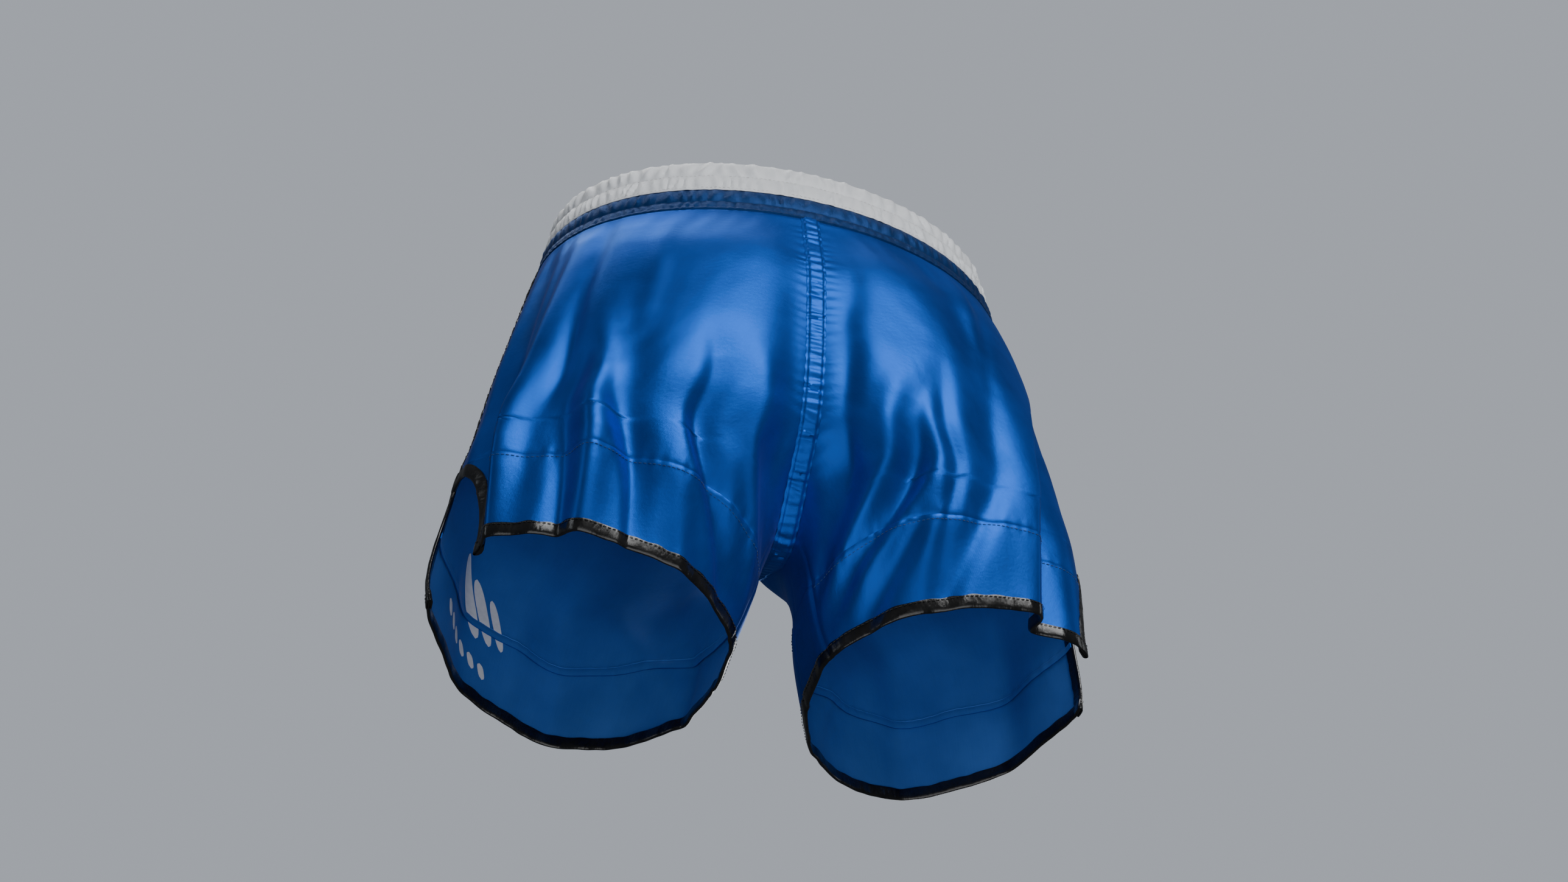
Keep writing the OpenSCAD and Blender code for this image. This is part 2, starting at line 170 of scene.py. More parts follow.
# ---------------------------------------------------------------- folds in the satin
# A fold is (width 1, width 2, [(angle, depth, height), ...]). Widths are in mm: width 1 is on the
# side of smaller angles. Heights are in mm, above 0 for a ridge and below 0 for a valley.
DEG = 1.8      # mm of cloth per degree
FOLDS = {
    LEFT: [
        # back: two full-length pleats, with the cloth beside the first one lying deeper
        (7, 13, [(32, 70, 2), (34, 120, 4), (36, 170, 7), (38, 220, 10), (40, 270, 14),
                 (41, 310, 16), (41, 345, 11), (41, 375, 6)]),
        (16, 8, [(22, 110, -2), (24, 170, -4), (26, 230, -6), (29, 300, -6), (31, 375, -4)]),
        (11, 13, [(47, 80, 2), (51, 150, 3), (57, 210, 5), (66, 260, 9), (73, 300, 14),
                  (75, 335, 12), (77, 375, 6)]),
        (9, 9, [(57, 250, -2), (61, 300, -3), (66, 345, -5), (68, 375, -5)]),
        (6, 14, [(64, 225, -2), (71, 260, -5), (80, 290, -7), (90, 330, -7), (97, 375, -3)]),
        # drag lines from the crotch
        (6, 14, [(94, 235, -3), (105, 280, -8), (120, 320, -8), (135, 352, -4)]),
        (9, 17, [(97, 105, -2), (104, 150, -6), (113, 195, -10), (127, 238, -15), (142, 272, -16),
                 (156, 300, -9)]),
        (8, 8, [(113, 240, 3), (128, 277, 6), (142, 308, 6), (154, 340, 2)]),
        (8, 10, [(108, 330, 2), (118, 375, 3)]),
        # narrow pleats near the side
        (5, 6, [(13, 75, 1.5), (14, 200, 2.5), (15, 285, 1)]),
        (4, 5, [(24, 75, 1.2), (26, 160, 2), (28, 250, 1)]),
        (5, 5, [(41, 72, -2), (44, 170, -3), (50, 250, -3)]),
        (5, 6, [(58, 75, 1), (61, 130, 1.5), (66, 190, 1)]),
        # front, from the side round to the inner thigh
        (20, 18, [(-6, 295, 2), (-7, 335, 7), (-7, 358, 8), (-9, 375, 5)]),
        (14, 16, [(-34, 80, 3), (-38, 180, 6), (-42, 280, 6), (-46, 375, 2.5)]),
        (14, 14, [(-55, 100, -3), (-60, 200, -5), (-66, 290, -5), (-70, 375, -2)]),
        (14, 16, [(-72, 140, 2), (-78, 230, 5), (-86, 310, 5), (-92, 375, 2)]),
        (12, 16, [(-98, 150, -2), (-112, 215, -6), (-130, 265, -9), (-150, 300, -6)]),
        (9, 12, [(-96, 265, -1), (-116, 310, -5), (-138, 350, -3)]),
        (7, 8, [(-126, 285, 1), (-140, 330, 4), (-148, 375, 3)]),
    ],
    RIGHT: [
        # back: one crisp full-length pleat, with a flat facet behind it that turns to the side
        (26, 5, [(24, 130, 0), (30, 175, -6), (41, 215, -13), (50, 262, -18), (56, 300, -19),
                 (59, 340, -19), (61, 375, -18)]),
        (5, 16, [(36, 150, 0), (46, 205, 3), (57, 255, 5), (65, 300, 5), (68, 345, 4),
                 (70, 375, 4)]),
        (9, 14, [(60, 90, -3), (62, 150, -4), (66, 215, -4), (76, 270, -4), (90, 322, -5),
                 (108, 370, -3)]),
        (6, 8, [(80, 195, -1), (87, 235, -4), (95, 275, -4), (105, 330, -2)]),
        (10, 12, [(78, 180, 1), (96, 262, 3), (106, 310, 4), (114, 350, 2)]),
        # drag lines from the crotch
        (6, 13, [(99, 150, -2), (106, 190, -6), (114, 222, -10), (125, 254, -11), (140, 288, -8)]),
        (6, 13, [(96, 240, -3), (109, 280, -8), (124, 312, -8), (142, 336, -4)]),
        (8, 8, [(104, 240, 3), (118, 273, 6), (136, 304, 5), (150, 325, 2)]),
        (9, 12, [(108, 312, -2), (122, 337, -6), (136, 362, -4)]),
        (12, 12, [(128, 215, -4), (136, 250, -8), (148, 282, -12), (158, 315, -7)]),
        (7, 12, [(88, 80, -2), (92, 120, -5), (98, 155, -5), (110, 190, -2)]),
        # narrow pleats near the side
        (5, 6, [(10, 75, 1.5), (12, 170, 2), (13, 285, 1)]),
        (5, 5, [(43, 62, -2), (48, 100, -2.5), (55, 150, -1.5)]),
        (5, 6, [(52, 70, 1), (57, 130, 1.5), (64, 190, 1)]),
        # front
        (18, 16, [(-6, 295, 2), (-7, 335, 5), (-7, 358, 6), (-9, 375, 4)]),
        (15, 16, [(-30, 80, 3), (-35, 180, 5), (-40, 280, 6), (-43, 375, 2.5)]),
        (14, 15, [(-50, 100, -3), (-57, 200, -5), (-62, 290, -5), (-66, 375, -2)]),
        (14, 16, [(-70, 130, 2), (-77, 230, 5), (-84, 310, 5), (-90, 375, 2)]),
        (12, 16, [(-97, 145, -2), (-110, 210, -6), (-128, 262, -9), (-148, 300, -6)]),
        (10, 12, [(-99, 270, -1), (-118, 312, -5), (-136, 352, -3)]),
        (8, 9, [(-120, 290, 1), (-134, 330, 3), (-144, 375, 2)]),
    ],
}
FOLD_FADE = 24      # mm over which a fold dies out past its ends
FOLD_STEPS = 14


def fold_line(points):
    """Points along a smooth line through a fold's points, as mm across, mm down and height."""
    points = np.array([(a * DEG, d, h) for a, d, h in points], float)
    at = lengths(points[:, :2])
    s = np.linspace(0, at[-1], FOLD_STEPS)
    if len(points) == 2:
        return points[0] + (points[1] - points[0]) * (s / at[-1])[:, None]
    return np.stack([hermite(at, points[:, k], s) for k in range(3)], -1)


def one_fold(u, v, fold):
    """The height of one fold at the cloth points (u, v)."""
    width_1, width_2, points = fold
    line = fold_line(points)
    best = np.full(u.shape, np.inf)
    offset, beyond, height = np.zeros((3,) + u.shape)
    last = len(line) - 2
    for i in range(last + 1):
        along = line[i + 1] - line[i]
        length = np.hypot(along[0], along[1])
        ux, uy = along[0] / length, along[1] / length
        du, dv = u - line[i, 0], v - line[i, 1]
        t = du * ux + dv * uy
        inside = np.clip(t, 0, length)
        distance = (du - inside * ux) ** 2 + (dv - inside * uy) ** 2
        closer = distance < best
        best = np.where(closer, distance, best)
        offset = np.where(closer, du * uy - dv * ux, offset)
        ends = ((t < 0) if i == 0 else False) | ((t > length) if i == last else False)
        beyond = np.where(closer, np.where(ends, np.abs(t - inside), 0), beyond)
        height = np.where(closer, line[i, 2] + along[2] * inside / length, height)
    # offset is below 0 on the side of smaller angles, because the line runs down the cloth
    width = np.where(offset < 0, width_1, width_2)
    return height * bell(offset, width) * bell(beyond, FOLD_FADE)


def waves(u, v, seed, length, stretch=1.0):
    """Smooth random relief from -1 to 1, with features about length mm wide, drawn out along v."""
    rng = np.random.default_rng(seed)
    total = np.zeros(np.broadcast(u, v).shape)
    count = 7
    for _ in range(count):
        turn = rng.uniform(-0.5, 0.5)
        size = length * rng.uniform(0.7, 1.5)
        phase_1, phase_2 = rng.uniform(0, 2 * math.pi, 2)
        a = u * math.cos(turn) + v / stretch * math.sin(turn)
        b = -u * math.sin(turn) + v / stretch * math.cos(turn)
        total += (np.sin(2 * math.pi * a / size + phase_1)
                  * np.cos(2 * math.pi * b / (size * 1.7) + phase_2))
    return total / math.sqrt(count) / 1.2


def gathers(along, seed, pitch):
    """Uneven pleats across a seam, from -1 to 1. along is the distance along the seam in mm."""
    shift = 0.35 * pitch * waves(along, 0, seed, pitch * 5.3)
    size = 0.65 + 0.35 * waves(along, 31, seed + 1, pitch * 3.1)
    return np.sin(2 * math.pi * (along + shift) / pitch) * size


def near_seam(depth, angle):
    """Distance from the edge of the centre seam strip, and how close that is, from 0 to 1."""
    distance = np.maximum(0, surface(depth, angle)[..., 0] - SEAM_HALF_W)
    return distance, bell(distance, 24) * above_crotch(depth)


def above_crotch(depth):
    return smooth((CROTCH + 55 - depth) / 40)


def gusset_half_w(depth):
    return GUSSET_TOP + (GUSSET_HEM - GUSSET_TOP) * (depth - CROTCH) / (HEM - CROTCH)


def band_line(angle):
    """Depth of the seam above the hem band, which drops towards the inner thigh."""
    return HEM_BAND + 9 * smooth((np.abs(angle) - 112) / 45)


WAVE_SEED = {LEFT: (11, 31), RIGHT: (23, 43)}
# Heights of the relief in mm: fullness at the hips, fan of pleats at the waist, valley beside the
# centre seam and pinch at the gusset's seam
HIPS, FAN, VALLEY, PINCH = 2.0, 0.9, -6.0, -0.9


def relief(side, depth, angle):
    """How far the draped satin stands out from the smooth surface, in mm."""
    u, v = angle * DEG, depth
    total = np.zeros(u.shape)
    for fold in FOLDS[side]:
        width = 3 * max(fold[0], fold[1])
        across = [a * DEG for a, _, _ in fold[2]]
        down = [d for _, d, _ in fold[2]]
        near = ((u > min(across) - width) & (u < max(across) + width)
                & (v > min(down) - width - FOLD_FADE) & (v < max(down) + width + FOLD_FADE))
        if near.any():
            total[near] += one_fold(u[near], v[near], fold)
    # fullness over the hips below the waistband
    corner = np.where(np.abs(angle) < 90, np.sin(np.radians(2 * angle)) ** 2, 0)
    total += HIPS * corner * smooth((230 - depth) / 150)
    coarse, fine = WAVE_SEED[side]
    total += 0.8 * waves(u, v, coarse, 60, 3.0) + 0.08 * waves(u, v, fine, 17, 2.5)
    # short pleats that fan out below the waistband
    fan = bell(depth - WAISTBAND, 30) * smooth((depth - 52) / 12)
    total += FAN * fan * gathers(u + 0.1 * (v - 60) * np.sin(np.radians(angle * 2)), 5 + side, 13)
    # puckers along the sewn edges
    total += 0.35 * bell(depth - band_line(angle), 5) * gathers(u, 71 + side, 9)
    total += 0.25 * bell(depth - HEM, 9) * gathers(u, 81 + side, 16)
    beside = bell(np.abs(u) - RIBBON_HALF_W, 5) * smooth((VENT_TOP - depth) / 10)
    total += 0.4 * beside * gathers(v, 91 + side, 9)
    # the two ends of the angle's range meet at the inner thigh
    total *= smooth((180 - np.abs(angle)) / 14)
    total += (1.4 * np.cos(np.radians(angle) * 9) * smooth((np.abs(angle) - 166) / 10)
              * smooth((depth - 300) / 40))
    # beside the centre seam the cloth lies in a valley, puckered by the stitches
    distance, near = near_seam(depth, angle)
    pucker = 0.5 * bell(distance, 7) * gathers(v, 61 + side, 8) * smooth((depth - 62) / 20)
    valley = VALLEY * smooth((depth - 50) / 60) * near
    # and it is pinched at the gusset's seam
    to_gusset = (180 - np.abs(angle)) * math.pi / 180 * reach(depth, angle) - gusset_half_w(depth)
    pinch = PINCH * bell(to_gusset, 2.2) * smooth((depth - 285) / 12)
    below_waist = smooth((depth - 54) / 40)
    return total * (1 - near) * below_waist + valley + pucker * above_crotch(depth) + pinch


def cloth_point(side, depth, angle, proud=0.0):
    """A point of the draped cloth, proud mm above its outer face, in millimetres."""
    depth, angle, proud = spread(depth, angle, proud)
    angle = wrapped(angle)
    direction = outward(depth, angle)
    direction[..., 0] *= 1 - near_seam(depth, angle)[1]
    p = surface(depth, angle) + direction * (relief(side, depth, angle) + proud)[..., None]
    floor = 0.8 * smooth((depth - CROTCH + 45) / 40)
    p[..., 0] = side * np.maximum(p[..., 0], floor)
    return p


def on_cloth(side, depth, angle, height):
    """A point at a height above the draped cloth's outer face, along the drape's own normal."""
    depth, angle, height = spread(depth, angle, height)
    step_d, step_a = 0.7, 0.4
    across = cloth_point(side, depth + step_d, angle) - cloth_point(side, depth - step_d, angle)
    along = cloth_point(side, depth, angle + step_a) - cloth_point(side, depth, angle - step_a)
    normal = side * unit(np.cross(across, along))
    return cloth_point(side, depth, angle) + normal * height[..., None]


# ---------------------------------------------------------------- limits of the pieces
def angle_at_x(depth, x):
    return np.degrees(np.arccos(np.clip((x - centre_x(depth)) / half_axis(depth), -1, 1)))


def angle_at_y(depth, y, facing):
    limit = profile(3 if facing == BACK else 4, depth)
    return np.degrees(np.arcsin(np.clip(y / limit, -1, 1)))


def signed_angle(depth, y):
    """Angle at a distance y from the side seam, which is below 0 towards the front."""
    return np.where(y < 0, -angle_at_y(depth, -y, FRONT), angle_at_y(depth, y, BACK))


def vent_width(depth, facing):
    """Distance of the vent's straight edge from the side seam."""
    bulge = np.sin(math.pi * np.clip((depth - 325) / 55, 0, 1))
    return VENT_REACH[facing] * (1 + VENT_FLARE * bulge)


def vent_edge(depth, facing, inset):
    """Distance from the side seam of a line inset mm into the panel from the vent's edge."""
    t = np.clip((depth - (VENT_TOP - inset)) / (VENT_ROUND + inset), 0, 1)
    return (vent_width(depth, facing) + inset) * np.sqrt(1 - (1 - t) ** 2)


def side_angle(depth, facing, inset=1.0):
    return angle_at_y(depth, np.maximum(0.15, vent_edge(depth, facing, inset)), facing)


def inner_angle(depth, facing):
    """Angle of a panel's edge at the centre seam or the gusset."""
    return np.minimum(angle_at_x(depth, SEAM_HALF_W - 0.8),
                      180 - angle_at_y(depth, gusset_half_w(depth), facing))


def gusset_span(depth):
    """Angles of the gusset's two edges, going from the back over 180 to the front."""
    return inner_angle(depth, BACK), 360 - inner_angle(depth, FRONT)


def hem_span():
    """Angles of the hem's two ends at the vent, going from the back over 180 to the front."""
    back, front = (angle_at_y(HEM, vent_edge(HEM, facing, 0.3), facing) for facing in (BACK, FRONT))
    return back, 360 - front


def deepest(inside):
    """The depth near the crotch down to which inside(depth) holds, by halving its limits."""
    low, high = CROTCH - 10.0, CROTCH + 48.0
    for _ in range(24):
        middle = (low + high) / 2
        here = inside(middle)
        low, high = np.where(here, middle, low), np.where(here, high, middle)
    return low


# ---------------------------------------------------------------- meshes
# Angles, in degrees, beyond which an edge shows as sharp
SHEET_SHARP, THREAD_SHARP, BAR_SHARP, METAL_SHARP = 50, 60, 65, 40


def build(name, points, faces, uv, materials, sharp, face_material=None):
    """A mesh object from points in mm, a list of face arrays and, for each, its corners' UVs."""
    used, flat = np.unique(np.concatenate([f.ravel() for f in faces]), return_inverse=True)
    mesh = bpy.data.meshes.new(name)
    sizes = np.concatenate([np.full(len(f), f.shape[1]) for f in faces])
    starts = np.concatenate([[0], np.cumsum(sizes)[:-1]])
    mesh.vertices.add(len(used))
    mesh.vertices.foreach_set("co", (points[used] * MM).astype(np.float32).ravel())
    mesh.loops.add(len(flat))
    mesh.loops.foreach_set("vertex_index", flat.astype(np.int32).ravel())
    mesh.polygons.add(len(sizes))
    mesh.polygons.foreach_set("loop_start", starts.astype(np.int32))
    if uv is not None:
        corners = np.concatenate([x.reshape(-1, 2) for x in uv])
        mesh.uv_layers.new(name="cloth").data.foreach_set("uv", corners.astype(np.float32).ravel())
    for material in materials:
        mesh.materials.append(material)
    if face_material is not None:
        mesh.polygons.foreach_set("material_index", np.concatenate(face_material).astype(np.int32))
    mesh.update(calc_edges=True)
    mesh.shade_smooth()
    mesh.set_sharp_from_angle(angle=math.radians(sharp))
    return placed(bpy.data.objects.new(name, mesh))


def placed(obj):
    bpy.context.scene.collection.objects.link(obj)
    return obj


def turned_out(points, faces, *uvs):
    """The faces, and any UVs of theirs, in the order that makes the faces point outwards."""
    volume = 0
    for f in faces:
        for k in range(1, f.shape[1] - 1):
            a, b, c = points[f[:, 0]], points[f[:, k]], points[f[:, k + 1]]
            volume += np.einsum("ij,ij->", a, np.cross(b, c))
    order = -1 if volume < 0 else 1
    return [[x[:, ::order] for x in group] for group in (faces, *uvs)]


def merged(parts):
    """One set of points and faces from several."""
    first = np.cumsum([0] + [len(points) for points, _ in parts])
    return (np.concatenate([points for points, _ in parts]),
            [f + start for (_, faces), start in zip(parts, first) for f in faces])


def joined(grid):
    """The grid with its first column once more at its end."""
    return np.concatenate([grid, grid[:, :1]], axis=1)


def cells(grid):
    """The four corners of each cell of a grid, row by row."""
    corners = np.stack([grid[:-1, :-1], grid[:-1, 1:], grid[1:, 1:], grid[1:, :-1]], 2)
    return corners.reshape(-1, 4, *grid.shape[2:])


def corner_uv(faces, step):
    """UVs that run along each face's own corners."""
    return [np.zeros((*f.shape, 2)) + np.arange(f.shape[1])[None, :, None] * step for f in faces]


def sheet_faces(rows, columns, around=False, keep=None):
    """Faces of a closed sheet between two grids of points, and the place in the grid of each of
    their corners. around joins the last column to the first, and keep says which cells exist."""
    count = rows * columns
    point = np.arange(count).reshape(rows, columns)
    point = (joined(point) if around else point).ravel()
    quads = cells(np.arange(len(point)).reshape(rows, -1))
    if keep is not None:
        quads = quads[keep.ravel()]
    start, end = quads.ravel(), np.roll(quads, -1, axis=1).ravel()
    first, second = point[start], point[end]
    rim = ~np.isin(first * count + second, second * count + first)
    corners = [quads, quads[:, ::-1], np.stack([end, start, start, end], -1)[rim]]
    inner = [0, count, count * np.array([0, 0, 1, 1])]
    return [point[c] + more for c, more in zip(corners, inner)], corners


def shell(name, outer, inner, uv, materials, around=False, keep=None):
    """A closed sheet between two grids of points. The inner face takes the last material."""
    faces, corners = sheet_faces(*outer.shape[:2], around, keep)
    points = np.concatenate([outer.reshape(-1, 3), inner.reshape(-1, 3)])
    faces, uvs = turned_out(points, faces, [uv.reshape(-1, 2)[c] for c in corners])
    slots = [np.full(len(f), k) for f, k in zip(faces, (0, len(materials) - 1, 0))]
    return build(name, points, faces, uvs, materials, SHEET_SHARP, slots)


def grid_normals(p, centre, around=False):
    """Unit normals of a grid of points, turned to point away from a centre."""
    wide = np.concatenate([p[:, -1:], p, p[:, :1]], axis=1) if around else p
    along = np.gradient(wide, axis=1)
    n = unit(np.cross(np.gradient(p, axis=0), along[:, 1:-1] if around else along))
    return n * np.sign(np.einsum("ijk,ijk->ij", n, p - centre))[..., None]


def bar_mesh(name, sections, uv, material):
    """A closed bar from its cross-sections: sections is stations by section points by 3."""
    stations, around = sections.shape[:2]
    index = np.arange(stations * around).reshape(stations, around)
    faces, uvs = [cells(joined(index))], [cells(joined(uv))]
    half = around // 2
    for ends, order in ((index[0], 1), (index[-1], -1)):
        back = ends[::-1]
        cap = np.stack([ends[:half - 1], ends[1:half], back[1:half], back[:half - 1]], -1)
        faces.append(cap[:, ::order])
        uvs.append(np.zeros((*cap.shape, 2)) + uv[0, 0])
    points = sections.reshape(-1, 3)
    return build(name, points, *turned_out(points, faces, uvs), (material,), BAR_SHARP)


# ---------------------------------------------------------------- materials
class Nodes:
    """Short calls for building a node material."""

    def __init__(self, name):
        self.material = bpy.data.materials.new(name)
        self.material.use_nodes = True
        self.tree = self.material.node_tree
        self.shader = self.tree.nodes["Principled BSDF"]

    def add(self, kind, sources=(), **settings):
        """A node with its settings, its inputs' values and the links into its inputs."""
        node = self.tree.nodes.new("ShaderNode" + kind)
        for key, value in settings.items():
            if hasattr(node, key):
                setattr(node, key, value)
            else:
                node.inputs[key.replace("_", " ")].default_value = value
        for key, source in dict(sources).items():
            self.tree.links.new(source, node.inputs[key])
        return node

    def cloth(self, scale_u=1.0, scale_v=1.0, turn=0.0):
        """The cloth's own coordinates, in mm, scaled and turned."""
        uv = self.add("UVMap", uv_map="cloth").outputs["UV"]
        return self.add("Mapping", {"Vector": uv}, Scale=(scale_u, scale_v, 1),
                        Rotation=(0, 0, turn)).outputs["Vector"]

    def place(self):
        return self.add("TexCoord").outputs["Object"]

    def noise(self, vector, scale, detail):
        return self.add("TexNoise", {"Vector": vector}, Scale=scale, Detail=detail,
                        Roughness=0.55).outputs["Fac"]

    def wave(self, vector, scale, direction, distortion=0.0):
        return self.add("TexWave", {"Vector": vector}, bands_direction=direction, Scale=scale,
                        Distortion=distortion, Detail_Scale=0.4).outputs["Fac"]

    def ramp(self, value, low, high):
        return self.add("MapRange", {"Value": value}, From_Min=0.3, From_Max=0.7, To_Min=low,
                        To_Max=high).outputs["Result"]

    def colours(self, value, first, second, low=0.3, high=0.7):
        node = self.add("ValToRGB", {"Fac": value})
        for stop, at, colour in zip(node.color_ramp.elements, (low, high), (first, second)):
            stop.position, stop.color = at, (*colour, 1)
        return node.outputs["Color"]

    def sum(self, a, b, share):
        """a times share, and b on top."""
        node = self.add("Math", {0: a, 2: b}, operation="MULTIPLY_ADD")
        node.inputs[1].default_value = share
        return node.outputs["Value"]

    def finish(self, colour, rough=None, height=None, depth=None, **values):
        """Links the colour, roughness and relief, sets the other values and gives the material."""
        links = {"Base Color": colour, "Roughness": rough}
        if height is not None:
            links["Normal"] = self.add("Bump", {"Height": height}, Distance=depth,
                                       Strength=1.0).outputs["Normal"]
        for key, source in links.items():
            if source is not None:
                self.tree.links.new(source, self.shader.inputs[key])
        for key, value in values.items():
            self.shader.inputs[key.replace("_", " ")].default_value = value
        return self.material


def satin(name, light, dark, metallic, rough, sheen, sheen_tint=(0.6, 0.65, 0.9), specular=0.5,
          tint=(1, 1, 1), crumple=0.00012):
    """Satin: long floats one way, fine ribs the other, with uneven sheen."""
    n = Nodes(name)
    cloth = n.cloth()
    streaks = n.noise(n.cloth(0.9, 0.05), 1.0, 4)
    patches = n.noise(cloth, 0.022, 3)
    ribs = n.wave(cloth, 0.9, "Y", 0.6)
    floats = n.wave(n.cloth(1, 0.3), 0.55, "X", 1.5)
    weave = n.sum(floats, n.sum(ribs, n.noise(cloth, 0.35, 4), 0.12), 0.1)
    return n.finish(n.colours(n.sum(streaks, patches, 0.25), dark, light, 0.38, 0.82),
                    n.ramp(patches, *rough), weave, crumple, Metallic=metallic,
                    Specular_Tint=(*tint, 1), Specular_IOR_Level=specular, Sheen_Weight=sheen,
                    Sheen_Roughness=0.4, Sheen_Tint=(*sheen_tint, 1))


def trim_satin():
    """Glossy black ribbon with ribs across it and small puckers."""
    n = Nodes("trim_satin")
    cloth = n.cloth()
    patches = n.noise(cloth, 0.08, 3)
    crease = n.noise(n.cloth(0.12, 0.22, 0.3), 1.0, 2)
    relief_height = n.sum(n.wave(cloth, 0.8, "X", 0.8), crease, 0.03)
    return n.finish(n.colours(patches, (0.004, 0.004, 0.0045), (0.012, 0.0115, 0.011)),
                    n.ramp(patches, 0.16, 0.3), relief_height, 0.0005, Specular_IOR_Level=0.6,
                    Coat_Weight=0.25, Coat_Roughness=0.12)


def elastic():
    n = Nodes("elastic_tape")
    place = n.place()
    ribs = n.sum(n.wave(place, 260, "Z", 0.4), n.noise(place, 900, 2), 0.6)
    return n.finish(n.colours(n.noise(place, 220, 3), (0.5, 0.5, 0.49), (0.72, 0.72, 0.7)),
                    None, ribs, 0.0004, Roughness=0.8, Sheen_Weight=0.2)


def eyelet_metal():
    n = Nodes("eyelet_metal")
    place = n.place()
    scuffs = n.noise(place, 900, 4)
    return n.finish(n.colours(scuffs, (0.42, 0.43, 0.45), (0.62, 0.63, 0.65)),
                    n.ramp(scuffs, 0.2, 0.42), n.noise(place, 2600, 2), 0.00004, Metallic=1.0)


def thread(name, light, dark, rough=0.5):
    n = Nodes(name)
    twist = n.wave(n.cloth(1, 1, 0.6), 3.0, "X")
    return n.finish(n.colours(twist, dark, light, 0.2, 0.8), None, twist, 0.00008,
                    Roughness=rough, Sheen_Weight=0.3)


def print_ink():
    """The white print: thin rubbery ink that lets a little of the weave show."""
    n = Nodes("print_ink")
    cloth = n.cloth()
    wear = n.noise(cloth, 0.3, 5)
    return n.finish(n.colours(wear, (0.86, 0.88, 0.90), (0.96, 0.97, 0.98)),
                    n.ramp(wear, 0.45, 0.62), n.sum(n.wave(cloth, 0.7, "Y"), wear, 0.3), 0.00008)


BLUE = satin("satin_blue", (0.010, 0.104, 0.55), (0.008, 0.080, 0.43), 0.76, (0.38, 0.47), 0.09,
             (0.5, 0.45, 0.9), 0.3, (0.35, 0.6, 1.0))
# Inside face of the satin: partly the back's own duller, paler blue, and partly painted light, kept
# paler than the back really is to stand in for light coming through the thin cloth and in at the
# leg openings.
BLUE_INSIDE = satin("satin_blue_inside", (0.07, 0.22, 0.66), (0.05, 0.17, 0.56), 0.25,
                    (0.42, 0.52), 0.1, specular=0.3, tint=(0.4, 0.6, 1.0))
BAND_BLUE = satin("band_blue", (0.007, 0.045, 0.19), (0.004, 0.030, 0.13), 0.5, (0.36, 0.46),
                  0.12, tint=(0.4, 0.6, 1.0), crumple=0.00025)
BAND_WHITE = satin("band_white", (0.93, 0.96, 1.0), (0.89, 0.925, 0.97), 0.0, (0.34, 0.44), 0.5,
                   (1, 1, 1), crumple=0.0002)
TRIM = trim_satin()
TAPE = elastic()
METAL = eyelet_metal()
THREAD_BLUE = thread("thread_blue", (0.012, 0.09, 0.34), (0.005, 0.045, 0.18))
THREAD_WHITE = thread("thread_white", (0.8, 0.8, 0.82), (0.5, 0.5, 0.53))
THREAD_BLACK = thread("thread_black", (0.010, 0.010, 0.010), (0.003, 0.003, 0.003), 0.8)
INK = print_ink()


def ride(obj, side):
    """obj is parented to the seat, or, given a side, has its placement baked into its mesh."""
    if side is None:
        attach(obj, "seat")
        return
    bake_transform(obj)


def declare(obj, nodes, side=None):
    """Hides the CAD nodes that a sheet stands for, and places the sheet as ride does."""
    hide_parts(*nodes)
    ride(obj, side)


# ---------------------------------------------------------------- panels
PANEL_STEP = 1.9      # mm between rows of a panel's mesh
PANEL_COLUMNS, GUSSET_COLUMNS = 150, 34
TUCK = CLOTH + 0.3    # mm by which a panel's edge goes in where another one covers it


def cloth_sheet(name, side, depth, angle, proud):
    """A sheet of satin on a grid of depths and angles, proud mm above the drape."""
    outer = cloth_point(side, depth, angle, proud)
    leg_axis = np.stack([side * centre_x(depth), 0 * depth, -depth], -1)
    inner = outer - grid_normals(outer, leg_axis) * CLOTH
    return shell(name, outer, inner, np.stack([angle * DEG, depth], -1), (BLUE, BLUE_INSIDE))


def panel_sheet(name, side, facing, top, bottom, proud):
    """A panel from the vent to the inner thigh, between lines that give a depth for each angle."""
    share = np.linspace(0, 1, PANEL_COLUMNS)
    down = np.linspace(0, 1, int((bottom(90.0) - top(90.0)) / PANEL_STEP))[:, None]
    # rows follow the top and bottom lines, so the angle is found again at each row's depth
    angle = facing * (10 + 140 * share)[None]
    for _ in range(12):
        depth = top(angle[-1]) + (bottom(angle[-1]) - top(angle[-1])) * down
        first = side_angle(depth, facing)
        angle = facing * (first + (inner_angle(depth, facing) - first) * share)
    return cloth_sheet(name, side, depth, angle, proud(depth, angle))


def main_panel(side, facing):
    def proud(depth, angle):
        under_waist = 1 - smooth((depth - WAISTBAND + 1) / 3)
        under_hem = smooth((depth - band_line(angle) + 1.5) / 2.5)
        return -TUCK * np.maximum(under_waist, under_hem)
    name = piece_name(side, facing)
    obj = panel_sheet(name + "_panel", side, facing, lambda a: WAISTBAND - 2 + 0 * a,
                      lambda a: band_line(a) + 5, proud)
    declare(obj, [name + "_seat_panel", name + "_leg_panel"],
            side)


def hem_proud(depth, angle):
    """The hem band laps over the panel: its folded edge rolls up from under it."""
    d = depth - band_line(angle)
    return -0.9 + 1.3 * smooth((d + 1.4) / 1.2) + 0.25 * bell(d - 0.8, 1.1)


def hem_band(side, facing):
    name = piece_name(side, facing)
    obj = panel_sheet(name + "_hem_band_cloth", side, facing, lambda a: band_line(a) - 1.2,
                      lambda a: HEM - 1 + 0 * a, hem_proud)
    declare(obj, [name + "_hem_band"],
            side)


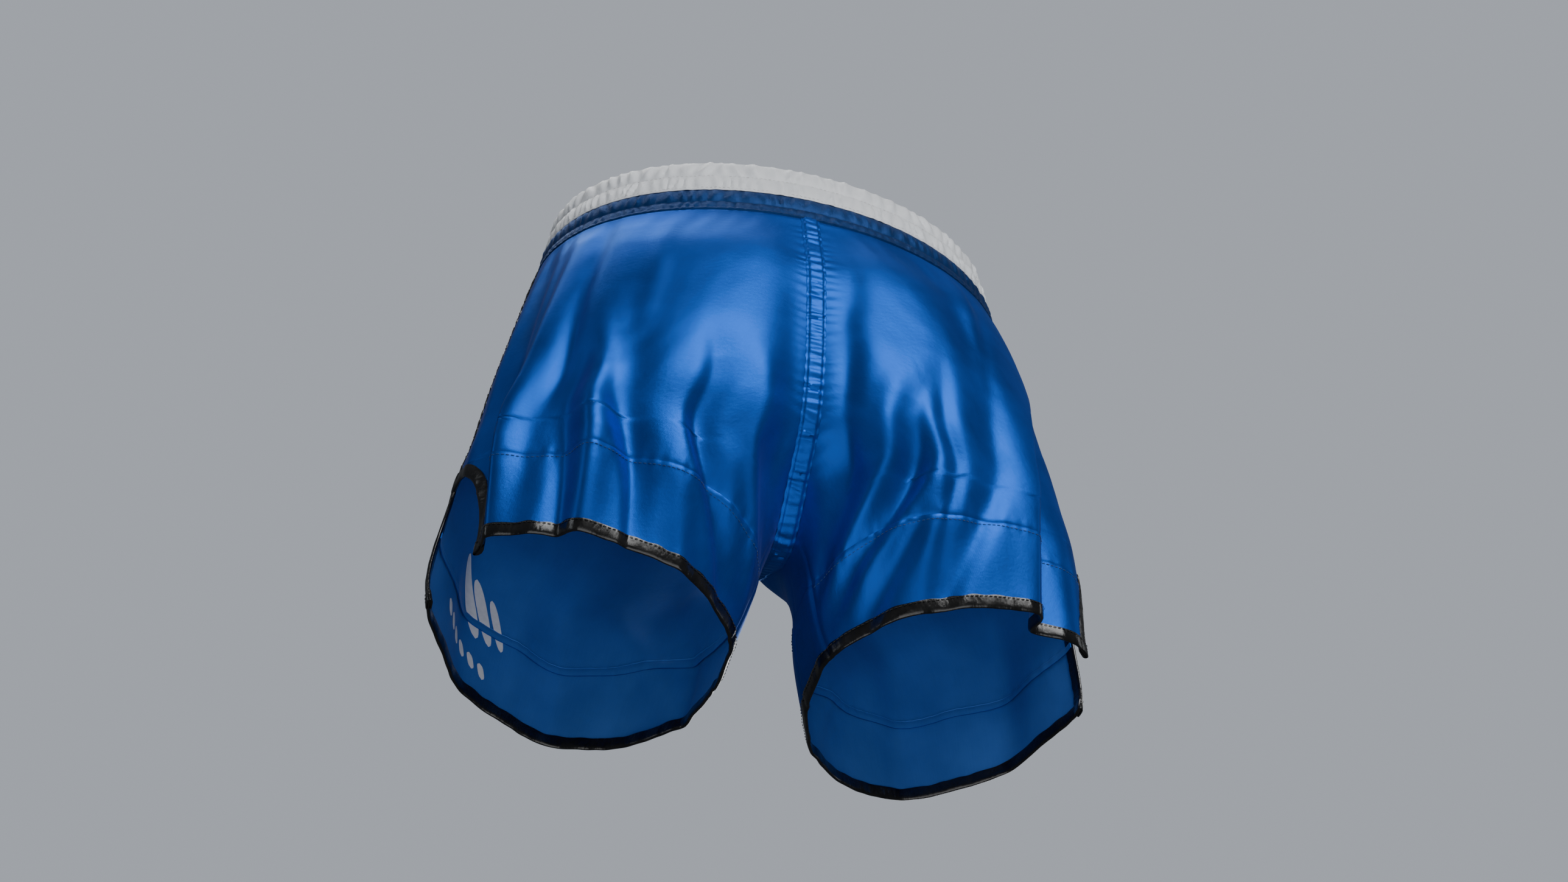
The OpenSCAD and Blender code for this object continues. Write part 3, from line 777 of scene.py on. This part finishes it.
def gusset_sheet(name, cloth_name, side, top, bottom, proud):
    """A gusset, or the part of the hem band below it, from the back seam to the front seam."""
    share = np.linspace(0, 1, GUSSET_COLUMNS)
    down = np.linspace(0, 1, 1 + int((bottom(180.0) - top(0.5)) / PANEL_STEP))[:, None]
    angle = np.full((1, GUSSET_COLUMNS), 180.0)
    for _ in range(10):
        depth = top(share) + (bottom(angle[-1]) - top(share)) * down
        first, last = gusset_span(depth)
        angle = first + (last - first) * share
    obj = cloth_sheet(cloth_name, side, depth, angle, proud(depth, wrapped(angle)))
    declare(obj, [name], side)


def gusset_start(share):
    """Depth at which a line down the gusset leaves the centre seam strip."""
    share = np.clip(share, 0.05, 0.95)

    def on_strip(depth):
        first, last = gusset_span(depth)
        return surface(depth, first + (last - first) * share)[..., 0] < SEAM_HALF_W - 1.5
    return deepest(on_strip)


def gussets(side):
    leg = SIDE_NAME[side] + "_gusset"
    gusset_sheet(leg, leg + "_cloth", side, gusset_start, lambda a: band_line(wrapped(a)) + 5,
                 lambda d, a: -TUCK * smooth((d - band_line(a) + 1.5) / 2.5))
    gusset_sheet(leg + "_hem_band", leg + "_hem_cloth", side,
                 lambda s: band_line(180) - 1.2 + 0 * s, lambda a: HEM - 1 + 0 * a, hem_proud)


# ---------------------------------------------------------------- waistband
WAIST_GIRTH, WAIST_COLUMNS = 860, 560
AROUND = np.linspace(0, 360, WAIST_COLUMNS + 1)[:-1]
# Stitched channels of the waistband: top, bottom, gathers' pitch, seed, height and ripple
CHANNELS = [(0, 17, 10, 310, 2.0, 1.7), (17, 35, 6.5, 320, 1.7, 1.3), (35, 50, 8, 330, 1.4, 0.9),
            (50, 60.5, 6, 340, 1.0, 0.6)]


def around_mm(around):
    """Distance round the waist, roughly, in mm."""
    return around / 360 * WAIST_GIRTH


def waist_point(depth, around, proud):
    """A point of the waistband, with around from 0 at the left side seam through 90 at the back."""
    left = np.cos(np.radians(around)) >= 0
    angle = wrapped(np.where(left, wrapped(around), 180 - around))
    return np.where(left[..., None], cloth_point(LEFT, depth, angle, proud),
                    cloth_point(RIGHT, depth, angle, proud))


def channel_relief(depth, around, first, last, pitch, seed, height, ripple):
    """A stitched channel: a soft tube, gathered by the elastic inside it."""
    s = around_mm(around)
    slant = (s + 1.8 * waves(s, depth, seed + 9, 30)
             + 0.35 * (depth - first) * waves(s, 0, seed + 5, 60))
    inside = np.clip((depth - first) / (last - first), 0, 1)
    full = np.clip(np.sin(math.pi * inside), 0, 1) ** 0.6
    return full * (height + ripple * gathers(slant, seed, pitch)
                   + 0.35 * gathers(slant, seed + 3, pitch * 0.45))


def seam_wobble(around):
    return 0.5 * waves(around_mm(around), 0, 301, 34)


def band_relief(depth, around):
    """Height of the waistband's outer face above its tapes."""
    depth = depth + seam_wobble(around)
    return sum(channel_relief(depth, around, *row) for row in CHANNELS) - 0.8


def waist_sheet(name, outer, centre, thickness, down, material, keep=None):
    """A sheet all round the waist, with its distance down the cloth at each row. It is thickness
    deep towards the centre, or away from it where thickness is below 0."""
    inner = outer - grid_normals(outer, centre, around=True) * thickness
    girth = np.linspace(0, WAIST_GIRTH, WAIST_COLUMNS + 1)
    uv = np.stack(np.broadcast_arrays(girth, down[:, None]), -1)
    return shell(name, outer, inner, uv, (material,), around=True, keep=keep)


def waist_axis(depth):
    return np.stack([0 * depth, 0 * depth, -depth], -1)


def white_band():
    """White satin, folded over the top edge of the waistband."""
    roll = 2.3
    # depth, height, and share of the outer face's relief, from outside over the top to inside
    outside = [(d, 0.0, 1.0) for d in np.linspace(WHITE_BAND + 1, roll, 34)]
    turn = [(roll - roll * math.sin(t), -roll + roll * math.cos(t), 0.4)
            for t in np.linspace(0.2, math.pi - 0.2, 9)]
    inside = [(d, -2 * roll, 0.0) for d in np.linspace(roll, 12, 8)]
    path = np.array(outside + turn + inside)
    down, rise, share = path.T[:, :, None]
    depth, around = np.broadcast_arrays(down, AROUND)
    lap = 0.6 * bell(depth - WHITE_BAND - 0.3, 1.2)
    height = rise + share * (band_relief(depth, around) + lap)
    height = height - np.where(share == 0, 0.5 + 0.35 * gathers(around_mm(around), 350, 7), 0)
    # normals of the fold point out of the band on both of its sides
    middle = waist_point(np.maximum(depth, roll), around, -roll)
    obj = waist_sheet("white_band", waist_point(depth, around, height), middle, 0.5,
                      1.1 * np.arange(1, len(path) + 1), BAND_WHITE)
    declare(obj, ["white_band_cover"])


def blue_band():
    down = np.linspace(WHITE_BAND - 2, WAISTBAND + 0.6, 30)
    depth, around = np.broadcast_arrays(down[:, None], AROUND)
    under = -0.8 * (1 - smooth((depth - WHITE_BAND - 0.5) / 2))
    lap = 0.75 * bell(depth - WAISTBAND, 1.3) - 0.9 * smooth((depth - WAISTBAND + 0.1) / 0.7)
    outer = waist_point(depth, around, band_relief(depth, around) + under + lap + 0.2)
    obj = waist_sheet("blue_band", outer, waist_axis(depth), 0.6, down, BAND_BLUE)
    declare(obj, ["blue_band_cover"])


EYELET_X, EYELET_DEPTH, EYELET_R = 18, 25, 5
# How far these lie inside the waistband's outer face: eyelets, inner facing, and the flat face
# against which a point's distance from an eyelet is measured
EYELET_SINK, FACING_SINK, FLAT_SINK = 4.7, 4.4, 4.0
# Section of an eyelet: distance from its axis, and height towards the inside of the shorts
EYELET_SECTION = np.array([
    (2.5, -1.2), (2.35, 0.3), (2.5, 0.85), (2.95, 1.15), (3.6, 1.12), (4.3, 0.85), (4.85, 0.45),
    (5.0, 0.05), (4.8, -0.1), (4.2, 0.35), (3.5, 0.6), (3.0, 0.6), (2.8, 0.3), (2.75, -1.2)])


def lining():
    """The waistband's inner facing, gathered like the outside but flat round the eyelets."""
    down = np.linspace(8, WAISTBAND - 0.5, 42)
    depth, around = np.broadcast_arrays(down[:, None], AROUND)
    gather = band_relief(depth + 0.8, around + 3)
    flat_face = waist_point(depth, around, -FLAT_SINK)
    to_eyelet = np.min([np.linalg.norm(flat_face - eyelet_axis(side)[0], axis=-1)
                        for side in (LEFT, RIGHT)], axis=0)
    calm = smooth((to_eyelet - EYELET_R) / 6)
    # its top is tucked flat under the white cover's turned edge
    tucked = 1 - smooth((depth - 12) / 4)
    proud = -FACING_SINK + 0.5 * tucked - 0.6 * (gather + 0.5) * calm * (1 - tucked)
    outer = waist_point(depth, around, proud)
    obj = waist_sheet("waistband_facing", outer, waist_axis(depth), -0.5, down, BAND_BLUE,
                      keep=to_eyelet[:-1] > EYELET_R - 1.6)
    declare(obj, ["waistband_lining"])


def eyelet_axis(side):
    """The middle of an eyelet and the direction of its axis into the shorts."""
    angle = -angle_at_x(EYELET_DEPTH, EYELET_X)
    out = outward(EYELET_DEPTH, angle)
    mirror = np.array([side, 1, 1])
    return (surface(EYELET_DEPTH, angle) - out * EYELET_SINK) * mirror, -out * mirror


def circle(across, up, sides):
    """Directions all round an axis, for each pair of directions square to it."""
    t = np.linspace(0, 2 * math.pi, sides + 1)[:-1, None]
    return across[..., None, :] * np.cos(t) + up[..., None, :] * np.sin(t)


def eyelets():
    """Pressed eyelets: a rolled flange round a short barrel, each turned about its own axis."""
    turns = 48
    radius, height = EYELET_SECTION.T[:, :, None]
    index = np.arange(turns * len(EYELET_SECTION)).reshape(turns, -1)
    faces = [cells(joined(np.concatenate([index, index[:1]])))]
    parts = []
    for side in (LEFT, RIGHT):
        middle, inward = eyelet_axis(side)
        across = unit(np.cross(inward, [0, 0, 1.0]))
        spokes = circle(across, np.cross(across, inward), turns)[:, None]
        parts.append(((middle + spokes * radius + inward * height).reshape(-1, 3), faces))
    points, faces = merged(parts)
    obj = build("eyelets", points, *turned_out(points, faces), None, (METAL,), METAL_SHARP)
    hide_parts("drawcord_eyelets")
    ride(obj, None)


# ---------------------------------------------------------------- centre seam strips
def centre_strip(facing):
    """A gathered strip over the centre seam, which ends in the middle of the crotch."""
    stations, columns = 210, 21
    top = WAISTBAND - 1.5
    end = deepest(lambda depth: centre_x(depth) - half_axis(depth) < SEAM_HALF_W)
    depth = top + (end - top) * np.sin(np.linspace(0, math.pi / 2, stations))
    line = cloth_point(LEFT, depth, facing * angle_at_x(depth, SEAM_HALF_W))[:, 1:]
    line[-1, 0] = back_shift(end, 180)
    # even steps along the line
    s = lengths(line)
    even = np.linspace(0, s[-1], stations)
    line = np.stack([np.interp(even, s, line[:, k]) for k in range(2)], -1)
    along = unit(np.gradient(line, axis=0))
    out = facing * np.stack([-along[:, 1], along[:, 0]], -1)
    share = np.linspace(-1, 1, columns)
    x = (SEAM_HALF_W + 0.35 * gathers(even, 400 + facing, 11))[:, None] * share
    even = even[:, None]
    slanted = even + 1.6 * waves(even, x, 410, 22)
    fullness = 0.75 + 0.35 * waves(even, x, 440, 38)
    height = 0.25 + (1 - np.abs(share) ** 5) * (1.0 + fullness * (
        0.8 * gathers(slanted, 420 + facing, 7.5) + 0.35 * gathers(slanted + 0.3 * x, 430, 4.3)))
    height -= 0.55 * bell(np.abs(x) - SEAM_HALF_W + 1.5, 0.8)
    height -= 0.9 * (1 - smooth((even - 1) / 3))

    def place(h):
        return np.stack([x, line[:, :1] + out[:, :1] * h, line[:, 1:] + out[:, 1:] * h], -1)
    face = FACING_NAME[facing]
    obj = shell(face + "_centre_strip", place(height), place(height - 0.7),
                np.stack(np.broadcast_arrays(x, even), -1), (BLUE, BLUE_INSIDE))
    declare(obj, [face + "_centre_seam"])


# ---------------------------------------------------------------- ribbons, bartacks and bindings
def side_ribbon(side):
    """Black ribbon over the side seam, puckered along both of its stitched edges."""
    depth = np.linspace(WAISTBAND - 1, VENT_TOP - 1, 180)[:, None]
    share = np.linspace(-1, 1, 19)
    narrow = 1 - 0.25 * smooth((depth - VENT_TOP + 16) / 12)
    y = RIBBON_HALF_W * share * narrow * (1 + 0.05 * gathers(depth, 500 + side, 9))
    crown = (1 - np.abs(share) ** 4) * (0.8 + 0.28 * gathers(depth + 1.5 * share, 510 + side, 14)
                                        + 0.10 * gathers(depth - share, 520, 5))
    height = 0.2 + crown - 1.0 * (1 - smooth((depth - WAISTBAND + 1) / 2.5))
    angle = signed_angle(depth, y)
    outer, inner = (on_cloth(side, depth, angle, height - h) for h in (0, 0.45))
    leg = SIDE_NAME[side]
    obj = shell(leg + "_ribbon", outer, inner, np.stack(np.broadcast_arrays(y, depth), -1), (TRIM,))
    declare(obj, [leg + "_side_ribbon"],
            side)


def bartack(side):
    """A dense bar of stitches that closes the ribbon just above the vent."""
    half_w, sides, parts = 5.6, 6, []
    for k in range(11):
        depth = VENT_TOP - 11 + 0.85 * k
        y = np.linspace(-half_w, half_w, 9) + 0.35 * math.sin(k * 2.4)
        line = on_cloth(side, depth + 0.2 * np.sin(y * 0.9 + k), signed_angle(depth, y),
                        0.95 + 0.35 * np.cos(y / half_w * 1.4))
        parts.append((thick_line(line, 0.5, sides), line_faces(len(line), sides)))
    leg = SIDE_NAME[side]
    obj = threads(leg + "_bartack_threads", *merged(parts), 1, THREAD_BLACK, "trim_black", side)
    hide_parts(leg + "_bartack")


def thick_line(centre, radius, sides):
    """Points in rings round a line, drawn in at both ends."""
    along = unit(np.gradient(centre, axis=0))
    up = unit(np.cross(along, np.array([0.3, 0.2, 0.93])))
    taper = np.full(len(centre), radius)
    taper[[0, -1]] *= 0.45
    ring = circle(up, np.cross(along, up), sides) * taper[:, None, None]
    return (centre[:, None] + ring).reshape(-1, 3)


def line_faces(stations, sides):
    index = np.arange(stations * sides).reshape(stations, sides)
    return [cells(joined(index)), index[:1][:, ::-1], index[-1:]]


def threads(name, points, faces, step, material, slot, side):
    """An object of sewing thread, whose UVs go up by step at each corner of a face."""
    [faces] = turned_out(points, faces)
    obj = build(name, points, faces, corner_uv(faces, step), (material,), THREAD_SHARP)
    ride(obj, side)
    return obj


# Cross-section of a folded binding: distance into the cloth, and height above the cloth's middle
BINDING_SECTION = np.array([
    (8.0, 1.15), (7.2, 1.32), (5.6, 1.4), (3.8, 1.45), (2.0, 1.42), (0.7, 1.2), (-0.1, 0.7),
    (-0.4, 0.0), (-0.1, -0.7), (0.7, -1.2), (2.0, -1.42), (3.8, -1.45), (5.6, -1.4), (7.2, -1.32),
    (8.0, -1.15), (8.0, -0.62), (5.6, -0.75), (2.0, -0.75), (0.8, -0.5), (0.5, 0.0), (0.8, 0.5),
    (2.0, 0.75), (5.6, 0.75), (8.0, 0.62)])
MID_CLOTH = -CLOTH / 2 + 0.2


def binding(name, nodes, side, depth_of, angle_of, stations, length, seed, lift=lambda t: 1):
    """A satin binding folded over an edge. depth_of and angle_of give the cloth's place at a
    station, from 0 to 1, and a distance into the cloth."""
    t = np.linspace(0, 1, stations)[:, None]
    run = t * length
    inwards, height = BINDING_SECTION.T
    s = (inwards * (1 + 0.05 * gathers(run, seed + 1, 17))
         + 0.15 * gathers(run, seed, 13) * (inwards > 1.5))
    pucker = (1 + 0.07 * gathers(run + 0.5 * s, seed + 2, 22)
              + 0.015 * gathers(run - 0.7 * s, seed + 3, 6))
    h = height * np.where(np.abs(height) > 0.9, pucker, 1.0) * lift(t)
    points = on_cloth(side, depth_of(t, s), angle_of(t, s), h + MID_CLOTH)
    uv = np.stack(np.broadcast_arrays(lengths(BINDING_SECTION), run), -1)
    declare(bar_mesh(name, points, uv, TRIM), nodes,
            side)


def hem_binding(side):
    leg = SIDE_NAME[side]
    first, last = hem_span()
    binding(leg + "_hem_tape", [leg + "_hem_binding"], side, lambda t, s: HEM - s + 0 * t,
            lambda t, s: first + (last - first) * t + 0 * s, 420, 520, 610 + side)


def vent_binding(side, facing):
    """From the top of the vent round its arch and down to the corner of the hem."""
    arc, length = (0.36, 100) if facing == BACK else (0.30, 88)
    corner = VENT_TOP + VENT_ROUND

    def turn(t):
        return np.clip(t / arc, 0, 1) * math.pi / 2

    def depth_of(t, s):
        down = np.clip((t - arc) / (1 - arc), 0, 1)
        return corner - (VENT_ROUND + s) * np.cos(turn(t)) + (HEM + 0.4 - corner) * down

    def angle_of(t, s):
        depth, out = depth_of(t, s), np.sin(turn(t))
        y = (vent_width(depth, facing) + s) * out
        return facing * angle_at_y(depth, y - 0.8 * (1 - out), facing)
    name = piece_name(side, facing)
    binding(name + "_vent_tape", [name + "_vent_binding", name + "_vent_binding_top"], side,
            depth_of, angle_of, 110, length, 640 + 10 * side + facing,
            lift=lambda t: 1 + 0.5 * smooth((t - 0.87) / 0.08))


# ---------------------------------------------------------------- stitching
STITCH_PITCH, STITCH_LENGTH, STITCH_R = 3.2, 2.3, 0.26
# Sections of a stitch: place along it, height in radii and relative thickness
STITCH_SECTIONS = [(-0.5, -0.75, 0.35), (-0.3, 0.15, 1.0), (0.3, 0.15, 1.0), (0.5, -0.75, 0.35)]


def stitch_row(path, normal):
    """Places of the stitches along a path of points, as rows of centre, along and up."""
    s = lengths(path)
    at = np.arange(STITCH_PITCH / 2, s[-1], STITCH_PITCH)

    def sample(values, where):
        return np.stack([np.interp(where, s, values[:, k]) for k in range(3)], -1)
    along = unit(sample(path, at + 1) - sample(path, at - 1))
    up = sample(normal, at)
    up = unit(up - along * np.einsum("ij,ij->i", up, along)[:, None])
    return sample(path, at), along, up


def stitches(name, rows, material, slot, side=None):
    """One object for many rows of stitches, each a short thread that dips at both ends."""
    centre, along, up = (np.concatenate(column) for column in zip(*rows))
    sides = 5
    ring = circle(np.cross(along, up), up, sides)
    rings = [(centre + along * (place * STITCH_LENGTH) + up * (dip * STITCH_R))[:, None]
             + ring * (STITCH_R * size) for place, dip, size in STITCH_SECTIONS]
    first = np.arange(len(centre))[:, None, None] * (len(STITCH_SECTIONS) * sides)
    faces = [(first + f).reshape(-1, f.shape[1])
             for f in line_faces(len(STITCH_SECTIONS), sides)]
    threads(name, np.stack(rings, 1).reshape(-1, 3), faces, 0.4, material, slot, side)


def cloth_row(side, depth, angle, height):
    """A row of stitches along a line on the draped cloth."""
    low, high = (on_cloth(side, depth, angle, height + h) for h in (0, 1.0))
    return stitch_row(low, high - low)


def waist_row(depth):
    """A row of stitches round the waistband."""
    depth = depth - seam_wobble(AROUND)
    height = band_relief(depth, AROUND) + 0.15
    low, high = (waist_point(depth, AROUND, height + h) for h in (0, 1))
    return stitch_row(low, high - low)


def waist_stitches():
    stitches("white_band_stitches", [waist_row(17.0), waist_row(33.2)], THREAD_WHITE, "band_white")
    stitches("blue_band_stitches", [waist_row(50.0), waist_row(58.6)], THREAD_BLUE, "band_blue")


def leg_stitches(side):
    blue, black = [], []
    for facing in (BACK, FRONT):
        first = side_angle(band_line(10.0) + 3, facing, 9)
        last = inner_angle(band_line(160.0) + 3, facing)
        angle = facing * np.linspace(first, last, 160)
        depth = band_line(angle) + 2.6
        blue.append(cloth_row(side, depth, angle, hem_proud(depth, angle) + 0.12))
        depth = np.linspace(WAISTBAND + 6, VENT_TOP - 14, 120)
        edge = facing * angle_at_y(depth, RIBBON_HALF_W - 1.2, facing)
        black.append(cloth_row(side, depth, edge, 0.75))
    black.append(cloth_row(side, HEM - 7.0, np.linspace(*hem_span(), 300), 1.55))
    leg = SIDE_NAME[side]
    stitches(leg + "_hem_seam_stitches", blue, THREAD_BLUE, "satin_blue", side)
    stitches(leg + "_trim_stitches", black, THREAD_BLACK, "trim_black", side)


# ---------------------------------------------------------------- the print on the left leg
INK_HALF = 0.08       # half the thickness of the ink
LEAN = -0.42


def bar(across, down, half_w, half_h, rows=28, columns=10):
    """A slanted bar with pointed ends, as grids of angle and depth."""
    v = np.linspace(-1, 1, rows)[:, None]
    width = half_w * (1 - np.abs(v) ** 3) ** 0.5 * np.linspace(-1, 1, columns)
    return np.broadcast_arrays((across + width + LEAN * half_h * v) / DEG, down + half_h * v)


def front_print():
    """A plain sporty mark of slanted bars, printed through the satin so that both faces show it."""
    marks = [bar(-44 * DEG, 304, 5.2, 27), bar(-51 * DEG, 309, 4.2, 22),
             bar(-57.5 * DEG, 313, 3.2, 17)]
    marks += [bar(-36 * DEG + 9.5 * k - 6, 344 - 2.4 * k, 2.6, 5.0, 9, 7) for k in range(-3, 3)]
    for name, face in (("left_print", 0.14), ("left_print_inside", -CLOTH - 0.3)):
        parts = []
        for angle, depth in marks:
            on_band = depth > band_line(angle) - 1.2
            lift = face + np.where(on_band, np.maximum(0, hem_proud(depth, angle)), 0.0)
            sheet = [on_cloth(LEFT, depth, angle, lift + h) for h in (INK_HALF, -INK_HALF)]
            parts.append((np.reshape(sheet, (-1, 3)), sheet_faces(*angle.shape)[0]))
        points, faces = merged(parts)
        [faces] = turned_out(points, faces)
        uvs = [points[f][..., [0, 2]] for f in faces]
        obj = build(name, points, faces, uvs, (INK,), THREAD_SHARP)
        ride(obj, LEFT)


# ---------------------------------------------------------------- making the garment
for side in (LEFT, RIGHT):
    for facing in (BACK, FRONT):
        main_panel(side, facing)
        hem_band(side, facing)
        vent_binding(side, facing)
    gussets(side)
    hem_binding(side)
    side_ribbon(side)
    bartack(side)
    leg_stitches(side)
white_band()
blue_band()
lining()
eyelets()
centre_strip(BACK)
centre_strip(FRONT)
waist_stitches()
front_print()
for number in range(1, 5):
    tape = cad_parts[f"elastic_tape_{number}"]
    tape.data.materials.clear()
    tape.data.materials.append(TAPE)


# ---------------------------------------------------------------- stage, light and camera
WHITE, COOL = (1, 1, 1), (0.9, 0.95, 1.0)
MIDDLE = (0, 0, -0.2)
# Name, place, target, size, power and colour
SOFTBOXES = [
    ("key", (-0.42, 2.17, 0.88), MIDDLE, (1.6, 0.9), 41, WHITE),
    ("top", (0.2, -0.6, 2.4), (0, 0, -0.1), (1.4, 1.4), 30, WHITE),
    ("left_strip", (2.6, 0.4, 0.3), MIDDLE, (0.4, 2.2), 5, COOL),
    ("right_strip", (-2.6, 0.2, 0.3), MIDDLE, (0.4, 2.2), 4, COOL),
    ("front", (-1.5, -2.3, 0.9), MIDDLE, (1.4, 1.2), 14, WHITE),
    ("under", (0.1, 0.95, -1.5), MIDDLE, (1.4, 1.4), 9.5, WHITE),
    ("over_floor", (0, 0, -0.9), (0, 0, -2), (30, 30), 1800, WHITE),
]
FLOOR_HALF_W, FLOOR_Z = 12.0, -1.75
ROOM_COLOUR, ROOM_LIGHT, ROOM_SEEN = (0.72, 0.77, 0.86, 1), 0.085, 0.55
AZIMUTH, ELEVATION, ROLL = (math.radians(x) for x in (163.61, -42.28, -0.58))
CAMERA_TARGET, CAMERA_DISTANCE, CAMERA_LENS = (-0.0178, -0.0239, -0.1554), 1.6943, 53.41


def softbox(name, place, target, size, power, colour):
    """An area light that the camera doesn't see."""
    light = bpy.data.lights.new(name, "AREA")
    light.shape = "RECTANGLE"
    light.size, light.size_y = size
    light.energy, light.color = power, colour
    obj = placed(bpy.data.objects.new(name, light))
    obj.location = place
    obj.rotation_euler = (Vector(target) - Vector(place)).to_track_quat("-Z", "Y").to_euler()
    obj.visible_camera = False


def stage():
    mesh = bpy.data.meshes.new("floor")
    w, z = FLOOR_HALF_W, FLOOR_Z
    mesh.from_pydata([(-w, -w, z), (w, -w, z), (w, w, z), (-w, w, z)], [], [(0, 1, 2, 3)])
    floor = placed(bpy.data.objects.new("floor", mesh))
    n = Nodes("floor_paint")
    paint = n.colours(n.noise(n.place(), 3, 3), (0.6, 0.61, 0.63), (0.66, 0.67, 0.69))
    mesh.materials.append(n.finish(paint, Roughness=0.85))
    # the floor has a light of its own, and sends none of it back up at the cloth
    floor.visible_diffuse = False
    floor.visible_glossy = False
    # a pale room that lights the object only dimly, so that the softboxes shape it
    world = bpy.data.worlds.new("studio")
    world.use_nodes = True
    tree = world.node_tree
    sky = tree.nodes["Background"]
    sky.inputs["Color"].default_value = ROOM_COLOUR
    seen = tree.nodes.new("ShaderNodeLightPath").outputs["Is Camera Ray"]
    strength = tree.nodes.new("ShaderNodeMapRange")
    strength.inputs["To Min"].default_value = ROOM_LIGHT
    strength.inputs["To Max"].default_value = ROOM_SEEN
    tree.links.new(seen, strength.inputs["Value"])
    tree.links.new(strength.outputs["Result"], sky.inputs["Strength"])
    bpy.context.scene.world = world
    for row in SOFTBOXES:
        softbox(*row)


def camera():
    flat = math.cos(ELEVATION)
    back = Vector((math.sin(AZIMUTH) * flat, -math.cos(AZIMUTH) * flat, math.sin(ELEVATION)))
    right = (-back).cross(Vector((0, 0, 1))).normalized()
    up = right.cross(-back)
    turned_right = right * math.cos(ROLL) + up * math.sin(ROLL)
    turned_up = up * math.cos(ROLL) - right * math.sin(ROLL)
    data = bpy.data.cameras.new("camera")
    data.sensor_width = 36
    data.lens = CAMERA_LENS
    obj = placed(bpy.data.objects.new("camera", data))
    obj.matrix_world = Matrix.Translation(Vector(CAMERA_TARGET) + back * CAMERA_DISTANCE) @ Matrix(
        (turned_right, turned_up, back)).transposed().to_4x4()
    bpy.context.scene.camera = obj


stage()
camera()
bpy.context.view_layer.update()
